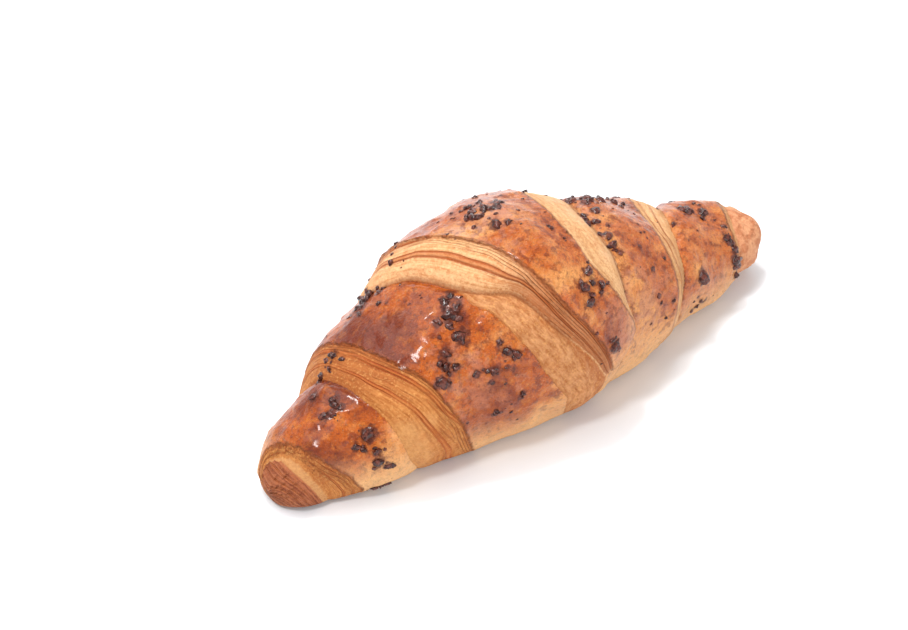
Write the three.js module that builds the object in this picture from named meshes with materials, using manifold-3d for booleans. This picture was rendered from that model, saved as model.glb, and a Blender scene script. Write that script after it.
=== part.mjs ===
// A whole baked croissant, rolled from a long triangle of laminated dough, with crumbs of dark
// chocolate and cocoa baked onto its top. Millimetres, +Z up. The roll lies along X on its flat
// base, its two blunt tips at -X and +X. The point of the dough triangle, which is the outermost
// turn, comes over the top from the back and ends low on the front, at -Y.
import * as THREE from "three";
import { mergeVertices } from "three/addons/utils/BufferGeometryUtils.js";
import Module from "manifold-3d";

// Driving sizes.
const LENGTH = 160;
const CORE_WIDTH = 53.4; // across the innermost roll at mid-length, under the turns that wrap it
const CORE_TIP_WIDTH = { left: 15.5, right: 17 };
const CORE_TAPER = { left: 1.57, right: 1.14 }; // 1 is a straight cone, more is a fuller belly
const TIP_ROUND = { left: 9, right: 6 }; // length over which a tip rounds shut
const TIP_BLUNT = { left: 2.8, right: 3.2 }; // 2 rounds it like a ball, more like a blunt stub
const BELLY_LEVEL = 18.5; // height of the widest level at mid-length
const TIP_LEVEL = { left: 3.3, right: 8.7 }; // and at the tips
const RISE = 0.93; // height of the top above the widest level, as a share of the half width
const SAG = 0.87; // how far the dough would sag below that level if there were no tray
const CRESCENT = 2.3; // both tips bend this far towards the front

// The underside lies flat on a patch with a waist, and curves up gently round it.
const PATCH_LENGTH = 84;
const PATCH_WIDTH = 26;
const PATCH_WAIST = 19;
const PATCH_SLOPE = 0.1;
const PATCH_LIFT = 1.2; // the most that the underside rises by that slope
const BASE_ROUND = 1.6; // soft bend from the underside into the sides

// The long edges of the dough triangle as they are rolled up. Each row is [turn, x of the upper
// lip, x of the foot of its side face]. The turn is the angle back along the roll in degrees,
// from the triangle's point: 0 and 360 face the front, 90 and 450 the top, 360 and over lie one
// layer further in.
const LEFT_EDGE = [
  [-8, 10.5, 8],
  [10, 6.5, 2.5],
  [20, 4, -1],
  [38, -1, -6.3],
  [54, -4.7, -9.6],
  [64, -7, -12],
  [73, -9, -18],
  [84, -11.2, -22.3],
  [110, -18, -29],
  [126, -22, -32.5],
  [200, -26, -37],
  [300, -27, -42.5],
  [332, -30, -45.3],
  [360, -33.6, -49],
  [400, -39.2, -52.2],
  [450, -46.6, -55.8],
  [540, -55, -62],
  [640, -59, -67],
  [702, -61, -69],
  [720, -63.5, -70],
  [786, -71.7, -73.4],
  [820, -74.4, -76.6],
  [880, -79, -82],
];
const RIGHT_EDGE = [
  [-8, 11.5, 13],
  [4, 14, 16],
  [15, 18, 19.2],
  [34, 14.7, 19],
  [50, 12, 20.1],
  [64, 10, 21],
  [92, 10.5, 22.8],
  [120, 13, 26.2],
  [200, 20, 31],
  [300, 29, 36],
  [360, 35.3, 39.7],
  [400, 38.2, 43.8],
  [430, 40, 48],
  [466, 44.4, 52.2],
  [560, 55, 60],
  [650, 62, 65],
  [720, 65.6, 67.6],
  [784, 67.5, 70],
  [860, 76, 78],
];
// [turn, thickness of the risen dough].
const THICKNESS = [
  [-8, 0],
  [6, 1.6],
  [30, 2.9],
  [80, 5.4],
  [130, 4],
  [220, 3.4],
  [330, 1.2],
  [372, 1.6],
  [450, 2.6],
  [560, 2.6],
  [690, 1.1],
  [732, 1.2],
  [800, 1.4],
  [880, 1],
  [1020, 0],
];
// The leaves of dough that show on the side faces: [turn, how many at the left, and at the right,
// how far they stand out as ledges at the left and at the right, from 0 to 1].
const LEAVES = [
  [-8, 2.4, 1, 0.7, 0],
  [30, 2.3, 1, 0.7, 0],
  [60, 2.1, 1, 0.8, 0],
  [76, 1.8, 1, 0.85, 0],
  [92, 1.8, 1, 0.85, 0],
  [126, 2.2, 1, 0.8, 0],
  [200, 3, 1.4, 0.8, 0.2],
  [340, 1.8, 3, 0.6, 0.5],
  [390, 2.4, 3, 0.65, 0.5],
  [480, 2.5, 3, 0.6, 0.5],
  [640, 3, 2, 0.5, 0.5],
  [800, 3, 2, 0.5, 0.5],
];
const LIP_SWELL = 0.12; // how far a lip stands above its layer, as a share of its thickness
const LIP_LENGTH = 4;
const CREASE_DEPTH = 1.2; // of the fold at the foot of a side face
const CREASE_WIDTH = 3.5;

// Slow unevenness of dough rolled by hand: [height, waves per mm of length, waves per turn, phase].
const LUMPS = [
  [0.45, 0.13, 2, 1.1],
  [0.35, 0.21, -3, 0.4],
  [0.25, 0.34, 4, 2.3],
];
// Broad dents and bulges: [x, angle, reach in x, reach in angle, height].
const BULGES = [
  [-79, 50, 4, 70, -1.4],
  [-70, 80, 5, 35, 1],
  [-33, -25, 9, 45, -2.4],
  [34, -25, 9, 45, 0.5],
  [44, 80, 7, 50, -2.2],
  [62, 90, 9, 50, -0.8],
  [66, -20, 8, 50, -0.7],
  [12, 104, 9, 34, -1.3],
];

// Where crumbs lie: [x, angle, spread in x, spread in angle, count, smallest, largest size].
const CRUMB_CLUSTERS = [
  [-3, 104, 14, 24, 26, 1.2, 3.2],
  [5, 54, 6, 26, 8, 1.4, 3],
  [8, 14, 2.5, 10, 4, 1.6, 3.8],
  [29, 108, 3, 16, 11, 1.4, 3.4],
  [23, 76, 2.4, 22, 14, 1.4, 3.4],
  [38, 106, 6, 18, 8, 1.4, 3.2],
  [32, 48, 8, 46, 7, 1, 1.9],
  [58, 88, 13, 24, 9, 1.4, 3],
  [65, 24, 1.4, 44, 12, 1.6, 3.4],
  [49, 22, 0.6, 3, 1, 3.6, 4.4],
  [49, -10, 5, 14, 4, 1.6, 2.8],
  [-27, 80, 5, 14, 9, 1.8, 4.2],
  [-28, 60, 0.6, 3, 1, 3.6, 4.4],
  [-20, 38, 3, 14, 5, 1.4, 2.8],
  [-35, 50, 3, 9, 6, 1.4, 3.6],
  [-26, 33, 3, 6, 5, 1.4, 2.8],
  [-23, 6, 8, 16, 6, 1, 1.8],
  [-61, 80, 4, 12, 7, 1.8, 3.6],
  [-57, 42, 1.2, 3, 2, 3.2, 4.2],
  [-60, 34, 5, 18, 3, 1.6, 2.6],
  [-56, 5, 5, 14, 4, 1.6, 2.6],
  [-56, -27, 3, 5, 4, 1.4, 2.2],
  [-58, 114, 9, 14, 8, 1.4, 3.4],
  [-32, 128, 14, 26, 14, 1.4, 3.6],
  [8, 150, 22, 26, 16, 1.4, 3.6],
  [48, 148, 18, 26, 11, 1.4, 3.2],
  [0, 186, 50, 18, 10, 1.2, 2],
];
const CRUMB_SEED = 20117;
const CRUMB_FUSED_FROM = 2.2; // crumbs smaller than this are only colour, not relief
const CRUMB_SUNK = 0.18; // depth of a crumb's centre under the crust, as a share of its size

// Steps of the faceted body.
const BODY_RINGS = 90;
const TIP_RINGS = 5;
const CRUST_SPOKES = 40;
const BASE_SPOKES = 4; // across the flat base, which lies past this many degrees below level
const BASE_ANGLE = 57;

const DEGREES = Math.PI / 180;
const HALF = LENGTH / 2;
const sideOf = (x) => (x < 0 ? "left" : "right");
const clamp01 = (t) => Math.min(1, Math.max(0, t));
const signedPower = (v, p) => Math.sign(v) * Math.abs(v) ** p;

// A smooth curve through a table's rows, read at t in one of its columns.
function along(table, t, column = 1) {
  const last = table.length - 1;
  if (t <= table[0][0]) return table[0][column];
  if (t >= table[last][0]) return table[last][column];
  const i = table.findIndex((row) => row[0] > t) - 1;
  const slope = (k) => {
    const a = table[Math.max(0, k - 1)];
    const b = table[Math.min(last, k + 1)];
    return (b[column] - a[column]) / (b[0] - a[0]);
  };
  const span = table[i + 1][0] - table[i][0];
  const s = (t - table[i][0]) / span;
  return (
    table[i][column] * (1 + 2 * s) * (1 - s) ** 2 +
    table[i + 1][column] * s * s * (3 - 2 * s) +
    slope(i) * span * s * (1 - s) ** 2 -
    slope(i + 1) * span * s * s * (1 - s)
  );
}

// From 1 at mid-length to 0 at a tip.
const taper = (x) => 1 - Math.min(1, Math.abs(x) / HALF) ** CORE_TAPER[sideOf(x)];

// Half the core's width at x, before its tips are rounded.
function coreHalfWidth(x) {
  const tip = CORE_TIP_WIDTH[sideOf(x)];
  return (tip + (CORE_WIDTH - tip) * taper(x)) / 2;
}

// 1 along the body, falling to 0 at the very tips.
function tipRounding(x) {
  const round = TIP_ROUND[sideOf(x)];
  const blunt = TIP_BLUNT[sideOf(x)];
  const past = clamp01((Math.abs(x) - (HALF - round)) / round);
  return (1 - past ** blunt) ** (1 / blunt);
}

// Height of a side face, from 0 at its foot to 1 at its lip, stepped by the leaves that show on it.
function ledges(s, leaves, depth) {
  const climbed = (t) => Math.floor(t) + Math.sqrt(1 - (1 - (t % 1)) ** 2);
  const plain = 1 - (1 - s) ** 1.5;
  return plain + depth * (climbed(s * leaves) / climbed(leaves) - plain);
}

// How far one layer of dough lifts the surface at x, at that turn of the roll.
function layerHeight(x, turn) {
  const thickness = along(THICKNESS, turn);
  if (thickness === 0) return 0;
  const [leftLip, leftFoot] = [along(LEFT_EDGE, turn), along(LEFT_EDGE, turn, 2)];
  const [rightLip, rightFoot] = [along(RIGHT_EDGE, turn), along(RIGHT_EDGE, turn, 2)];
  const fromLeft = (x - leftFoot) / (leftLip - leftFoot);
  const fromRight = (rightFoot - x) / (rightFoot - rightLip);
  const isLeft = fromLeft < fromRight;
  const leaves = along(LEAVES, turn, isLeft ? 1 : 2);
  const depth = along(LEAVES, turn, isLeft ? 3 : 4);
  const inside = Math.min(x - leftLip, rightLip - x);
  const outside = Math.max(leftFoot - x, x - rightFoot);
  const swell = inside > 0 ? LIP_SWELL * Math.exp(-inside / LIP_LENGTH) : 0;
  const fold = clamp01(1 - Math.abs(outside) / CREASE_WIDTH) ** 2;
  return (
    thickness * (ledges(clamp01(Math.min(fromLeft, fromRight)), leaves, depth) + swell) -
    CREASE_DEPTH * Math.min(1, thickness / 3) * fold
  );
}

// Distance of the surface from the roll's axis at x and angle, level with the axis.
function radius(x, angle) {
  let sum = coreHalfWidth(x);
  for (let turn = angle - 360; turn < 1080; turn += 360) sum += layerHeight(x, turn);
  for (const [height, perLength, perTurn, phase] of LUMPS)
    sum += height * Math.sin(perLength * x + perTurn * angle * DEGREES + phase);
  for (const [atX, atAngle, reachX, reachAngle, height] of BULGES) {
    const off = ((((angle - atAngle + 180) % 360) + 360) % 360) - 180;
    sum += height * Math.exp(-(((x - atX) / reachX) ** 2) - (off / reachAngle) ** 2);
  }
  return sum * tipRounding(x);
}

// Height of the underside over the tray.
function underside(x, y) {
  const waisted = PATCH_WAIST + (PATCH_WIDTH - PATCH_WAIST) * ((2 * x) / PATCH_LENGTH) ** 2;
  const outside = Math.max(Math.abs(x) - PATCH_LENGTH / 2, Math.abs(y) - waisted / 2, 0);
  return Math.min(PATCH_SLOPE * outside, PATCH_LIFT);
}

// The floor below it, z above it, with a soft bend between.
function restOn(floor, z) {
  const above = z - floor;
  if (above > BASE_ROUND) return z;
  return floor + (above < -BASE_ROUND ? 0 : (above + BASE_ROUND) ** 2 / (4 * BASE_ROUND));
}

// The surface at x and angle: 0 degrees faces the front, 90 the top, 180 the back.
function surfacePoint(x, angle) {
  const r = radius(x, angle);
  const c = Math.cos(angle * DEGREES);
  const s = Math.sin(angle * DEGREES);
  const tipLevel = TIP_LEVEL[sideOf(x)];
  const level = tipLevel + (BELLY_LEVEL - tipLevel) * taper(x);
  const lift = s > 0 ? RISE * r * s ** 0.96 : -SAG * r * (-s) ** 0.9;
  const y = -CRESCENT * (x / HALF) ** 2 - r * signedPower(c, 0.92);
  return new THREE.Vector3(x, y, restOn(underside(x, y), level + lift));
}

// Places of the rings along the roll, closer together where the tips round shut.
function ringPlaces() {
  const places = [];
  for (let k = 1; k <= TIP_RINGS; k++)
    places.push(-HALF + TIP_ROUND.left * (1 - Math.cos((k / TIP_RINGS) * 90 * DEGREES)));
  const from = -HALF + TIP_ROUND.left;
  const to = HALF - TIP_ROUND.right;
  for (let k = 1; k < BODY_RINGS; k++) places.push(from + ((to - from) * k) / BODY_RINGS);
  for (let k = TIP_RINGS; k >= 1; k--)
    places.push(HALF - TIP_ROUND.right * (1 - Math.cos((k / TIP_RINGS) * 90 * DEGREES)));
  return places;
}

// Angles round the roll, from the front edge of the base over the top, and few across the base.
function spokeAngles() {
  const crust = 180 + 2 * BASE_ANGLE;
  const angles = [];
  for (let j = 0; j < CRUST_SPOKES; j++) angles.push((crust * j) / CRUST_SPOKES - BASE_ANGLE);
  for (let j = 0; j < BASE_SPOKES; j++)
    angles.push(crust - BASE_ANGLE + ((360 - crust) * j) / BASE_SPOKES);
  return angles;
}

// The dough as one closed geometry of rings between two tip points. Each face between two rings is
// cut along its more level diagonal, so that ledges stay crisp.
function doughGeometry() {
  const rings = ringPlaces();
  const angles = spokeAngles();
  const spokes = angles.length;
  const points = [surfacePoint(-HALF, 0)];
  for (const x of rings) for (const angle of angles) points.push(surfacePoint(x, angle));
  points.push(surfacePoint(HALF, 0));
  const at = (i, j) => 1 + i * spokes + (j % spokes);
  const end = points.length - 1;
  const fromAxis = points.map((p) => Math.hypot(p.y, p.z - BELLY_LEVEL / 2));
  const drop = (p, q) => Math.abs(fromAxis[p] - fromAxis[q]);
  const index = [];
  for (let j = 0; j < spokes; j++) {
    index.push(0, at(0, j), at(0, j + 1));
    for (let i = 0; i < rings.length - 1; i++) {
      const [a, b, c, d] = [at(i, j), at(i + 1, j), at(i + 1, j + 1), at(i, j + 1)];
      if (drop(a, c) <= drop(b, d)) index.push(a, b, c, a, c, d);
      else index.push(a, b, d, b, c, d);
    }
    index.push(at(rings.length - 1, j), end, at(rings.length - 1, j + 1));
  }
  return new THREE.BufferGeometry().setFromPoints(points).setIndex(index);
}

// Draws from 0 to 1 that are the same on every run.
function seededDraws(seed) {
  let state = seed;
  return () => {
    state = (Math.imul(state, 1664525) + 1013904223) >>> 0;
    return state / 2 ** 32;
  };
}

// An irregular crumb of about that size, half sunk in the crust.
function crumbGeometry(x, angle, size, draw) {
  const place = surfacePoint(x, angle);
  const lengthwise = surfacePoint(x + 1, angle).sub(place);
  const around = surfacePoint(x, angle + 2).sub(place);
  const outward = lengthwise.cross(around).normalize();
  const crumb = new THREE.IcosahedronGeometry(size / 2, 0);
  crumb.deleteAttribute("normal");
  crumb.deleteAttribute("uv");
  const geometry = mergeVertices(crumb);
  const position = geometry.getAttribute("position");
  for (let k = 0; k < position.count; k++) {
    const grown = 0.75 + 0.5 * draw();
    position.setXYZ(
      k,
      position.getX(k) * grown * 1.2,
      position.getY(k) * grown * 0.85,
      position.getZ(k) * grown,
    );
  }
  geometry.rotateX(draw() * Math.PI);
  geometry.rotateZ(draw() * Math.PI);
  const centre = place.addScaledVector(outward, -CRUMB_SUNK * size);
  return geometry.translate(centre.x, centre.y, centre.z);
}

// All the crumbs that are large enough to stand out from the crust.
function crumbGeometries() {
  const draw = seededDraws(CRUMB_SEED);
  const crumbs = [];
  for (const [x, angle, alongX, alongAngle, count, least, most] of CRUMB_CLUSTERS)
    for (let k = 0; k < count; k++) {
      const cx = x + alongX * (draw() + draw() - 1);
      const ca = angle + alongAngle * (draw() + draw() - 1);
      const size = least + (most - least) * draw() ** 2;
      if (size >= CRUMB_FUSED_FROM) crumbs.push(crumbGeometry(cx, ca, size, draw));
    }
  return crumbs;
}

const wasm = await Module();
wasm.setup();

const solidOf = (geometry) =>
  new wasm.Manifold(
    new wasm.Mesh({
      numProp: 3,
      vertProperties: new Float32Array(geometry.getAttribute("position").array),
      triVerts: new Uint32Array(geometry.index.array),
    }),
  );

function geometryOf(solid) {
  const mesh = solid.getMesh();
  return new THREE.BufferGeometry()
    .setAttribute("position", new THREE.BufferAttribute(mesh.vertProperties, 3))
    .setIndex(new THREE.BufferAttribute(mesh.triVerts, 1));
}

// Puts the middle of the base at the origin.
function centredOnBase(geometry) {
  geometry.computeBoundingBox();
  const { min, max } = geometry.boundingBox;
  return geometry.translate(-(min.x + max.x) / 2, -(min.y + max.y) / 2, -min.z);
}

let croissant = solidOf(doughGeometry());
for (const crumb of crumbGeometries()) croissant = croissant.add(solidOf(crumb));

const crust = new THREE.MeshStandardMaterial({ color: 0xb8682c, roughness: 0.42, metalness: 0 });
const mesh = new THREE.Mesh(centredOnBase(geometryOf(croissant)), crust);
mesh.name = "croissant";

const part = new THREE.Group();
part.add(mesh);
export default part;
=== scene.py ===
import math
from collections import namedtuple
from functools import cached_property
from itertools import combinations

import bpy
import numpy as np
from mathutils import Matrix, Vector


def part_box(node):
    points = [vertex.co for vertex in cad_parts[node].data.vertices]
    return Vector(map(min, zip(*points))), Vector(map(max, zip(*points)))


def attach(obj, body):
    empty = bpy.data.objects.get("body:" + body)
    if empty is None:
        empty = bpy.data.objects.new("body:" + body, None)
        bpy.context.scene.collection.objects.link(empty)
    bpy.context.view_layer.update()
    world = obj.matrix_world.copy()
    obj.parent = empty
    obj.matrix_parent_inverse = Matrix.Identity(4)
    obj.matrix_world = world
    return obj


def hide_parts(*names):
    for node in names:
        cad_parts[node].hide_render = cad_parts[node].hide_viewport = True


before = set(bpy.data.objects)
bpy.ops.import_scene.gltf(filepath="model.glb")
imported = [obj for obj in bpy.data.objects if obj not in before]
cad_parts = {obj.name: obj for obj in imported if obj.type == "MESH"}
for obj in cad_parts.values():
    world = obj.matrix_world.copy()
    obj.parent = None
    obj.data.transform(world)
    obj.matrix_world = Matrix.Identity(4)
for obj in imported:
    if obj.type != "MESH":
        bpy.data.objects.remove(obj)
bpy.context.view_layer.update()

MM = 0.001

# ---------------------------------------------------------------- driving sizes of the roll
LENGTH = 160
CORE_WIDTH = 53.4
CORE_TIP_WIDTH = {"left": 15.5, "right": 17}
CORE_TAPER = {"left": 1.57, "right": 1.14}
TIP_ROUND = {"left": 9, "right": 6}
TIP_BLUNT = {"left": 2.8, "right": 3.2}
# Level of the roll's axis over the tray.
BELLY_LEVEL = 18.5
TIP_LEVEL = {"left": 3.3, "right": 8.7}
# Height over the axis and depth below it, as shares of a section's radius, and the powers of its
# sides, 1 for a circle and squarer below 1.
RISE = 0.93
SAG = 0.87
RISE_POWER = 0.96
SAG_POWER = 0.9
SIDE_POWER = 0.92
# How far the tips bend to the front.
CRESCENT = 2.3
# The waisted patch that rests on the tray, and the rise of the underside round it.
PATCH_LENGTH = 84
PATCH_WIDTH = 26
PATCH_WAIST = 19
PATCH_SLOPE = 0.1
PATCH_LIFT = 1.2
BASE_ROUND = 1.6

# The long edges of the dough triangle as it is rolled up: [turn, x of the upper lip, x of the foot
# of the side face]. The turn is the angle back along the roll from the triangle's point.
LEFT_EDGE = [
    [-8, 10.5, 8],
    [10, 6.5, 2.5],
    [20, 4, -1],
    [38, -1, -6.3],
    [54, -4.7, -9.6],
    [64, -7, -12],
    [73, -9, -18],
    [84, -11.2, -22.3],
    [110, -18, -29],
    [126, -22, -32.5],
    [200, -26, -37],
    [300, -27, -42.5],
    [332, -30, -45.3],
    [360, -33.6, -49],
    [400, -39.2, -52.2],
    [450, -46.6, -55.8],
    [540, -55, -62],
    [640, -59, -67],
    [702, -61, -69],
    [720, -63.5, -70],
    [786, -71.7, -73.4],
    [820, -74.4, -76.6],
    [880, -79, -82],
]
RIGHT_EDGE = [
    [-8, 11.5, 13],
    [4, 14, 16],
    [15, 18, 19.2],
    [34, 14.7, 19],
    [50, 12, 20.1],
    [64, 10, 21],
    [92, 10.5, 22.8],
    [120, 13, 26.2],
    [200, 20, 31],
    [300, 29, 36],
    [360, 35.3, 39.7],
    [400, 38.2, 43.8],
    [430, 40, 48],
    [466, 44.4, 52.2],
    [560, 55, 60],
    [650, 62, 65],
    [720, 65.6, 67.6],
    [784, 67.5, 70],
    [860, 76, 78],
]
# [turn, thickness of the risen dough].
THICKNESS = [
    [-8, 0],
    [6, 1.6],
    [30, 2.9],
    [80, 5.4],
    [130, 4],
    [220, 3.4],
    [330, 1.2],
    [372, 1.6],
    [450, 2.6],
    [560, 2.6],
    [690, 1.1],
    [732, 1.2],
    [800, 1.4],
    [880, 1],
    [1020, 0],
]
# Leaves of dough that show on the side faces: [turn, leaves at the left, leaves at the right, how
# far they stand out as ledges at the left and at the right, from 0 to 1].
LEAVES = [
    [-8, 2.4, 1, 0.7, 0],
    [30, 2.3, 1, 0.7, 0],
    [60, 2.1, 1, 0.8, 0],
    [76, 1.8, 1, 0.85, 0],
    [92, 1.8, 1, 0.85, 0],
    [126, 2.2, 1, 0.8, 0],
    [200, 3, 1.4, 0.8, 0.2],
    [340, 1.8, 3, 0.6, 0.5],
    [390, 2.4, 3, 0.65, 0.5],
    [480, 2.5, 3, 0.6, 0.5],
    [640, 3, 2, 0.5, 0.5],
    [800, 3, 2, 0.5, 0.5],
]
# The bare ends of the innermost leaves start this far from the middle, at the top of the roll, and
# NUB_SLANT nearer at its bottom. Smooth bare dough shows for NUB_COLLAR before them.
NUB_FROM = {"left": 75.6, "right": 71}
NUB_SLANT = {"left": 8, "right": 5}
NUB_COLLAR = 4
NUB_LEAF = 1.3
# The dough swells at a lip by this share of its thickness, fading out over LIP_LENGTH.
LIP_SWELL = 0.12
LIP_LENGTH = 4
# The fold at a foot, at its full depth where the dough is at least CREASE_FULL_FROM thick.
CREASE_DEPTH = 1.2
CREASE_WIDTH = 3.5
CREASE_FULL_FROM = 3
# The curve of a plain side face, and the leaves from which its ledges ripple in full.
FACE_POWER = 1.5
RIPPLE_FULL_FROM = 3
# Bare dough shows this far past the foot of a right side face.
RIGHT_APRON = 0.8
# Where no turn of dough lies over the innermost leaves, their turn is the angle plus NUB_TURN, and
# glaze is WELL_INSIDE up to the collar.
NUB_TURN = 1080
WELL_INSIDE = 20

# Unevenness in layers of noise: [amount, size, density along x, density across it, seed]. A density
# below 1 draws the features out.
EDGE_WOBBLE = [[0.7, 14, 1, 1, 1], [0.35, 5, 1, 1, 2]]
LEAF_RIPPLE = [[0.45, 24, 0.7, 1, 3], [0.1, 6, 1, 1, 4]]
CRUST_SWELL = [[0.25, 6, 1, 1, 22], [0.08, 1.4, 1, 1, 23]]
FAN_BUBBLES = [[0.28, 1.5, 1, 0.5, 24], [0.2, 4, 1, 1, 25]]
DOUGH_FLAKES = [[0.12, 1.1, 1, 0.35, 26]]
NUB_LUMPS = [[0.5, 5, 1, 1, 27]]
BLISTER_HEIGHT = 0.6
BLISTER_SIZE = 3.2
BLISTER_SEED = 21
NUB_LEDGE = 0.5
# The underside is smooth up to SMOOTH_BELOW, and the fine relief fades in over RELIEF_FADE.
SMOOTH_BELOW = 1.5
RELIEF_FADE = 4
# Slow unevenness of dough rolled by hand: [height, radians per mm, waves round the roll, phase].
LUMPS = [
    [0.45, 0.13, 2, 1.1],
    [0.35, 0.21, -3, 0.4],
    [0.25, 0.34, 4, 2.3],
]
# Broad dents and bulges: [x, angle, reach in x, reach in angle, height].
BULGES = [
    [-79, 50, 4, 70, -1.4],
    [-70, 80, 5, 35, 1],
    [-33, -25, 9, 45, -2.4],
    [34, -25, 9, 45, 0.5],
    [44, 80, 7, 50, -2.2],
    [62, 90, 9, 50, -0.8],
    [66, -20, 8, 50, -0.7],
    [12, 104, 9, 34, -1.3],
]

# Uneven baking, with painted light and shade in places: [x, angle, reach in x, reach in angle,
# how much darker, or paler below 0].
# Darker rows on top of the left half also paint shade there, and paler rows low at the front and on top
# of the middle also paint light.
BAKING_LIGHT_AND_SHADE = [
    [-66, 100, 14, 30, 0.7],
    [-70, 60, 5, 20, 0.5],
    [-60, 5, 9, 30, -0.7],
    [-50, 110, 8, 30, 0.8],
    [-46, 20, 8, 40, -0.5],
    [-32, 66, 9, 20, 0.1],
    [-28, 14, 10, 20, 0.9],
    [-22, -30, 14, 16, -0.4],
    [-6, 84, 6, 20, 0.1],
    [10, 34, 6, 18, 0.7],
    [13, 6, 5, 12, -0.3],
    [26, 12, 8, 26, -1.1],
    [30, 60, 6, 24, 0.3],
    [32, 105, 10, 20, 0.3],
    [60, 60, 8, 30, -0.1],
    [56, -4, 8, 24, -0.4],
    [66, 80, 8, 24, 0.2],
    [-10, 150, 40, 30, 0.3],
    [-71, 20, 5, 50, 0.8],
    [-36, 102, 10, 22, 0.6],
    [24, -10, 12, 24, -0.8],
    [-14, 96, 10, 24, -0.5],
    [-4, 50, 8, 20, -0.5],
    [20, 96, 5, 40, -0.9],
    [18, 44, 4, 26, -0.9],
    [49, 100, 4, 40, -0.8],
    [-56, 88, 7, 20, 0.6],
    [-66, 22, 5, 20, 1.0],
    [-23, 76, 5, 14, 0.7],
    [-30, 86, 7, 14, 0.4],
    [-4, 96, 8, 14, -0.8],
    [12, -14, 12, 14, -1.8],
    [-8, -8, 8, 12, -0.4],
    [42, 34, 4, 24, 0.7],
    [-47, 84, 8, 30, 1.2],
    [-48, 56, 5, 20, 0.5],
    [-47, -4, 8, 34, -0.9],
]

# How far bare dough shows on the layer below, out from the foot of a left side face: [turn, mm].
BARE_APRON = [
    [-60, 0],
    [-40, 10],
    [-12, 13.7],
    [8, 13.6],
    [28, 10.4],
    [50, 9],
    [64, 8],
    [76, 3],
    [84, 0.5],
    [900, 0.5],
]
# Frosty, pinkish patches of the brushed crust, duller glaze with a painted sheen, or clear amber
# ones below 0, in the same terms as the baking.
FROST_AND_SHEEN = [
    [-28, 34, 8, 22, 1],
    [-34, 60, 6, 16, 0.2],
    [-20, 50, 6, 20, -1.2],
    [-22, 8, 8, 18, 0.4],
    [-12, -4, 5, 18, -0.8],
    [-66, 40, 7, 24, -1],
    [-72, 70, 5, 24, -0.6],
    [-62, 92, 14, 24, -1.6],
    [-4, 104, 12, 18, 1.2],
    [6, 70, 6, 16, -1.2],
    [12, 24, 6, 16, 1.2],
    [26, 22, 6, 30, 1.1],
    [30, 70, 6, 24, -0.1],
    [36, 36, 6, 20, 0.5],
    [60, 60, 8, 24, 0.2],
    [66, 100, 10, 20, 0.5],
]

# ---------------------------------------------------------------- crumbs
# [x, angle, spread in x, spread in angle, count, smallest, largest size].
CRUMB_CLUSTERS = [
    [-3, 104, 14, 24, 26, 1.2, 3.2],
    [5, 54, 6, 26, 8, 1.4, 3],
    [8, 14, 2.5, 10, 4, 1.6, 3.8],
    [29, 108, 3, 16, 11, 1.4, 3.4],
    [23, 76, 2.4, 22, 14, 1.4, 3.4],
    [38, 106, 6, 18, 8, 1.4, 3.2],
    [32, 48, 8, 46, 7, 1, 1.9],
    [58, 88, 13, 24, 9, 1.4, 3],
    [65, 24, 1.4, 44, 12, 1.6, 3.4],
    [49, 22, 0.6, 3, 1, 3.6, 4.4],
    [49, -10, 5, 14, 4, 1.6, 2.8],
    [-27, 80, 5, 14, 9, 1.8, 4.2],
    [-28, 60, 0.6, 3, 1, 3.6, 4.4],
    [-20, 38, 3, 14, 5, 1.4, 2.8],
    [-35, 50, 3, 9, 6, 1.4, 3.6],
    [-26, 33, 3, 6, 5, 1.4, 2.8],
    [-23, 6, 8, 16, 6, 1, 1.8],
    [-61, 80, 4, 12, 7, 1.8, 3.6],
    [-57, 42, 1.2, 3, 2, 3.2, 4.2],
    [-60, 34, 5, 18, 3, 1.6, 2.6],
    [-56, 5, 5, 14, 4, 1.6, 2.6],
    [-56, -27, 3, 5, 4, 1.4, 2.2],
    [-58, 114, 9, 14, 8, 1.4, 3.4],
    [-32, 128, 14, 26, 14, 1.4, 3.6],
    [8, 150, 22, 26, 16, 1.4, 3.6],
    [48, 148, 18, 26, 11, 1.4, 3.2],
    [0, 186, 50, 18, 10, 1.2, 2],
]
CRUMB_SEED = 20117
CRUMB_FUSED_FROM = 2.2
CRUMB_SUNK = 0.18
SMALL_CRUMB_SEED = 4021
# Each corner of a crumb grows to a share of its even size that is drawn between these two.
CORNER_LEAST = 0.75
CORNER_MOST = 1.25
CRUMB_CHIPPED = 0.7  # share of flat chips in its shape, the rest being round
CRUMB_CHIP_DEPTH = 0.92
CORNER_BEHIND = 0.05  # least cosine of a corner's angle, so that those behind don't chip
CRUMB_LUMPS = [[0.26, 0.5, 1, 1, 31], [0.12, 0.25, 1, 1, 32]]
CRUMB_STRETCH = (1.25, 0.8, 1)
# Reach of the darkening round a crumb: cocoa in the crust and painted shade.
STAIN_AND_SHADE_REACH = 1.5  # times the size of a crumb
SPECK_SIZES = (0.4, 1.1)
SPECK_SPREAD = 1.4  # as a share of the spread of the crumbs that they lie among

# ---------------------------------------------------------------- mesh steps
# The crust reaches BASE_ANGLE below the front and the back. Each of its points is the mean of SAMPLES
# by SAMPLES places.
BODY_RINGS = 366
TIP_RINGS = 12
CRUST_SPOKES = 234
BASE_SPOKES = 8
BASE_ANGLE = 57
SAMPLES = 3

HALF = LENGTH / 2


def sided(x, sizes):
    """The left or the right size, by which half of the roll x lies in."""
    return np.where(x < 0, sizes["left"], sizes["right"])


def smooth(t):
    t = np.clip(t, 0, 1)
    return t * t * (3 - 2 * t)


def signed_power(v, p):
    return np.sign(v) * np.abs(v) ** p


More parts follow.
